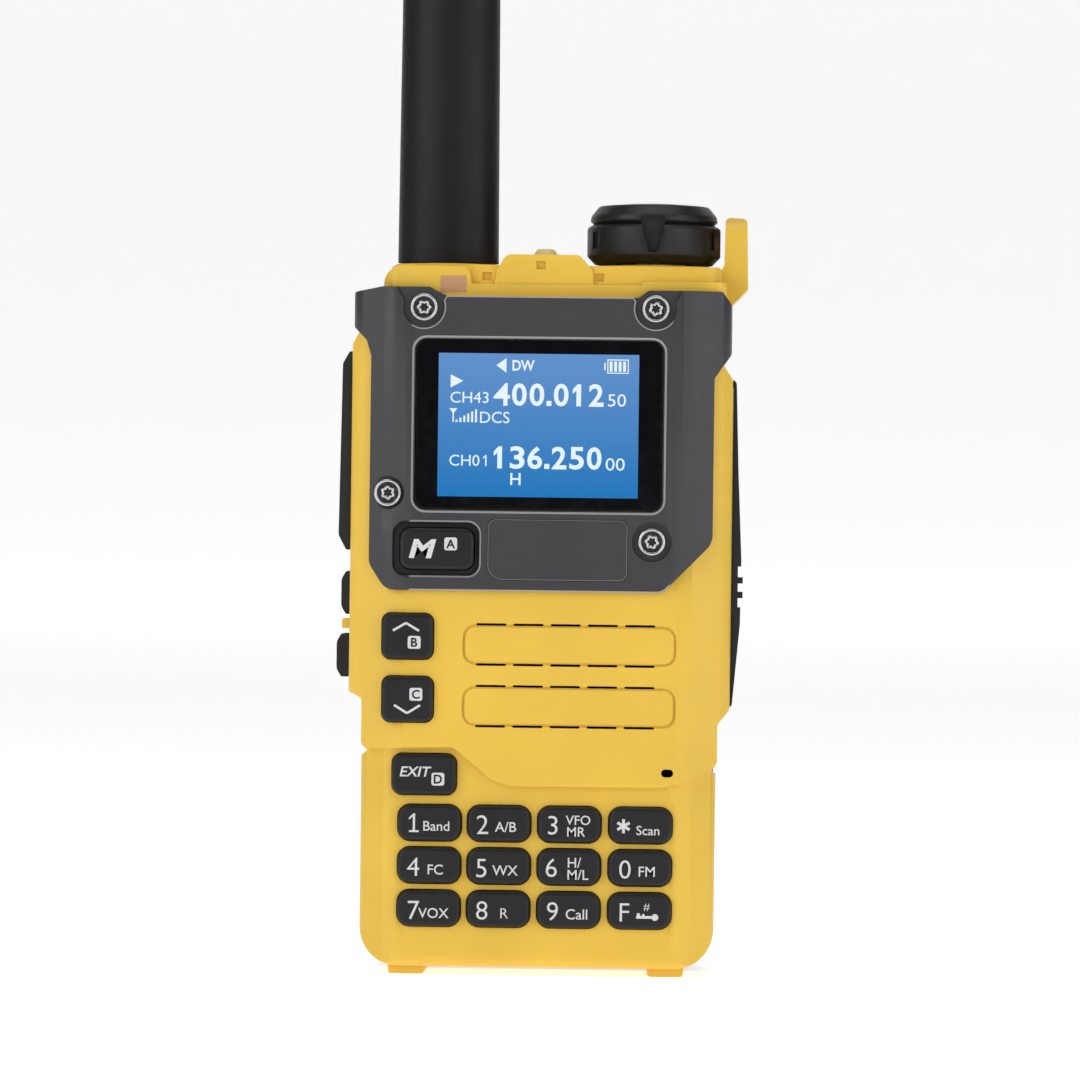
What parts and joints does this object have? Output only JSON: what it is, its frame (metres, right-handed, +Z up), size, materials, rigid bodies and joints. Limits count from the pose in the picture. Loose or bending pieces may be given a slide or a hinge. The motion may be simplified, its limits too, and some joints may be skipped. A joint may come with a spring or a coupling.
{
  "type": "two way radio",
  "caption": "Handheld two way radio with keypad, colour display, speaker grille, side keys, rubber antenna, volume knob, jack cover, and battery with belt clip.",
  "frame": {"origin": "centre of the bounding box's footprint, at the height of the feet", "axes": "+Z up along the antenna, -Y out of the display, +X to the right as seen from the front"},
  "size_m": [0.0612, 0.046, 0.2616],
  "materials": {
    "case_yellow": "fine moulded texture, satin",
    "bezel_grey": "satin dark grey",
    "chassis_black": "fine moulded texture",
    "screw_black": "black zinc",
    "screw_chrome": "bright nickel",
    "lens_glass": "clear, gloss, black printed border",
    "lcd": "lit blue display",
    "inner_plastic": "plain moulded",
    "mat_rubber": "moulded silicone",
    "spring_steel": "bright rolled",
    "circuit_board": "solder mask",
    "inner_steel": "pressed",
    "speaker_paper": "pressed cone",
    "brass_plated": "gold plated",
    "torch_clear": "clear dome",
    "status_amber": "translucent",
    "clip_black": "fine moulded texture",
    "side_rubber": "matte moulded rubber",
    "knob_black": "satin",
    "antenna_rubber": "satin moulded rubber",
    "antenna_core": "plain moulded",
    "battery_black": "fine moulded texture",
    "cell_foil": "pouch foil",
    "key_black": "satin moulded, white legends"
  },
  "bodies": {
    "radio": {"front_case": "case_yellow", "chassis": "chassis_black", "back_screws": "screw_black", "front_bezel": "bezel_grey", "bezel_screws": "screw_chrome", "name_plate": "bezel_grey", "display_lens": "lens_glass", "lcd_panel": "lcd", "lcd_holder": "inner_plastic", "keypad_mat": "mat_rubber", "dome_switches": "spring_steel", "main_board": "circuit_board", "rf_shields": "spring_steel", "speaker_frame": "inner_plastic", "speaker_cone": "speaker_paper", "microphone": "mat_rubber", "volume_pot": "inner_steel", "panel_nuts": "brass_plated", "antenna_socket": "brass_plated", "torch_lens": "torch_clear", "status_window": "status_amber", "side_switches": "inner_plastic", "accessory_jacks": "inner_plastic", "usb_port": "inner_steel", "clip_bracket": "clip_black", "clip_pin": "inner_steel", "clip_spring": "spring_steel"},
    "key_menu": {"key_menu": "key_black"},
    "key_up": {"key_up": "key_black"},
    "key_down": {"key_down": "key_black"},
    "key_exit": {"key_exit": "key_black"},
    "key_1": {"key_1": "key_black"},
    "key_2": {"key_2": "key_black"},
    "key_3": {"key_3": "key_black"},
    "key_star": {"key_star": "key_black"},
    "key_4": {"key_4": "key_black"},
    "key_5": {"key_5": "key_black"},
    "key_6": {"key_6": "key_black"},
    "key_0": {"key_0": "key_black"},
    "key_7": {"key_7": "key_black"},
    "key_8": {"key_8": "key_black"},
    "key_9": {"key_9": "key_black"},
    "key_function": {"key_function": "key_black"},
    "ptt_button": {"ptt_button": "side_rubber"},
    "side_key_upper": {"side_key_upper": "side_rubber"},
    "side_key_lower": {"side_key_lower": "side_rubber"},
    "volume_knob": {"knob_grip": "knob_black", "knob_cap": "knob_black", "pot_shaft": "inner_steel"},
    "antenna_lift": {"antenna_gasket": "side_rubber"},
    "antenna": {"antenna_sleeve": "antenna_rubber", "antenna_connector": "brass_plated", "antenna_core": "antenna_core"},
    "jack_cover": {"jack_cover": "side_rubber"},
    "clip_lever": {"clip_lever": "clip_black"},
    "battery": {"battery_case": "battery_black", "battery_lid": "battery_black", "battery_cell": "cell_foil", "battery_pads": "brass_plated"},
    "battery_latch": {"battery_latch": "clip_black"}
  },
  "joints": [
    {"name": "key_menu_press", "type": "slide", "parent": "radio", "child": "key_menu", "axis": [0, 1, 0], "range_m": [0, 0.0006], "stiffness_N_per_m": 1200, "springref_m": -0.0003},
    {"name": "key_up_press", "type": "slide", "parent": "radio", "child": "key_up", "axis": [0, 1, 0], "range_m": [0, 0.0006], "stiffness_N_per_m": 1200, "springref_m": -0.0003},
    {"name": "key_down_press", "type": "slide", "parent": "radio", "child": "key_down", "axis": [0, 1, 0], "range_m": [0, 0.0006], "stiffness_N_per_m": 1200, "springref_m": -0.0003},
    {"name": "key_exit_press", "type": "slide", "parent": "radio", "child": "key_exit", "axis": [0, 1, 0], "range_m": [0, 0.0006], "stiffness_N_per_m": 1200, "springref_m": -0.0003},
    {"name": "key_1_press", "type": "slide", "parent": "radio", "child": "key_1", "axis": [0, 1, 0], "range_m": [0, 0.0006], "stiffness_N_per_m": 1200, "springref_m": -0.0003},
    {"name": "key_2_press", "type": "slide", "parent": "radio", "child": "key_2", "axis": [0, 1, 0], "range_m": [0, 0.0006], "stiffness_N_per_m": 1200, "springref_m": -0.0003},
    {"name": "key_3_press", "type": "slide", "parent": "radio", "child": "key_3", "axis": [0, 1, 0], "range_m": [0, 0.0006], "stiffness_N_per_m": 1200, "springref_m": -0.0003},
    {"name": "key_star_press", "type": "slide", "parent": "radio", "child": "key_star", "axis": [0, 1, 0], "range_m": [0, 0.0006], "stiffness_N_per_m": 1200, "springref_m": -0.0003},
    {"name": "key_4_press", "type": "slide", "parent": "radio", "child": "key_4", "axis": [0, 1, 0], "range_m": [0, 0.0006], "stiffness_N_per_m": 1200, "springref_m": -0.0003},
    {"name": "key_5_press", "type": "slide", "parent": "radio", "child": "key_5", "axis": [0, 1, 0], "range_m": [0, 0.0006], "stiffness_N_per_m": 1200, "springref_m": -0.0003},
    {"name": "key_6_press", "type": "slide", "parent": "radio", "child": "key_6", "axis": [0, 1, 0], "range_m": [0, 0.0006], "stiffness_N_per_m": 1200, "springref_m": -0.0003},
    {"name": "key_0_press", "type": "slide", "parent": "radio", "child": "key_0", "axis": [0, 1, 0], "range_m": [0, 0.0006], "stiffness_N_per_m": 1200, "springref_m": -0.0003},
    {"name": "key_7_press", "type": "slide", "parent": "radio", "child": "key_7", "axis": [0, 1, 0], "range_m": [0, 0.0006], "stiffness_N_per_m": 1200, "springref_m": -0.0003},
    {"name": "key_8_press", "type": "slide", "parent": "radio", "child": "key_8", "axis": [0, 1, 0], "range_m": [0, 0.0006], "stiffness_N_per_m": 1200, "springref_m": -0.0003},
    {"name": "key_9_press", "type": "slide", "parent": "radio", "child": "key_9", "axis": [0, 1, 0], "range_m": [0, 0.0006], "stiffness_N_per_m": 1200, "springref_m": -0.0003},
    {"name": "key_function_press", "type": "slide", "parent": "radio", "child": "key_function", "axis": [0, 1, 0], "range_m": [0, 0.0006], "stiffness_N_per_m": 1200, "springref_m": -0.0003},
    {"name": "ptt_press", "type": "slide", "parent": "radio", "child": "ptt_button", "axis": [1, 0, 0], "range_m": [0, 0.0008], "stiffness_N_per_m": 2500, "springref_m": -0.0004},
    {"name": "side_key_upper_press", "type": "slide", "parent": "radio", "child": "side_key_upper", "axis": [1, 0, 0], "range_m": [0, 0.0005], "stiffness_N_per_m": 2000, "springref_m": -0.0003},
    {"name": "side_key_lower_press", "type": "slide", "parent": "radio", "child": "side_key_lower", "axis": [1, 0, 0], "range_m": [0, 0.0005], "stiffness_N_per_m": 2000, "springref_m": -0.0003},
    {"name": "volume_turn", "type": "hinge", "parent": "radio", "child": "volume_knob", "pos_m": [0.01625, -0.004, 0.11], "axis": [0, 0, 1], "range_deg": [-150, 150]},
    {"name": "antenna_rise", "type": "slide", "parent": "radio", "child": "antenna_lift", "axis": [0, 0, 1], "range_m": [0, 0.00423]},
    {"name": "antenna_unscrew", "type": "hinge", "parent": "antenna_lift", "child": "antenna", "pos_m": [-0.0149, -0.004, 0.11], "axis": [0, 0, 1], "range_deg": [0, 2160]},
    {"name": "jack_cover_open", "type": "hinge", "parent": "radio", "child": "jack_cover", "pos_m": [0.0283, -0.01, 0.0888], "axis": [0, -1, 0], "range_deg": [0, 110]},
    {"name": "clip_squeeze", "type": "hinge", "parent": "radio", "child": "clip_lever", "pos_m": [0, 0.0166, 0.0962], "axis": [1, 0, 0], "range_deg": [0, 15], "stiffness_Nm_per_rad": 0.6, "springref_deg": -17.19},
    {"name": "battery_remove", "type": "slide", "parent": "radio", "child": "battery", "axis": [0, 0, -1], "range_m": [0, 0.09]},
    {"name": "latch_lift", "type": "slide", "parent": "radio", "child": "battery_latch", "axis": [0, 0, 1], "range_m": [0, 0.0018], "stiffness_N_per_m": 900, "springref_m": -0.0005}
  ],
  "couplings": [
    {"joint": "antenna_unscrew", "follows": "antenna_rise", "rad_per_m": 8904.7}
  ]
}
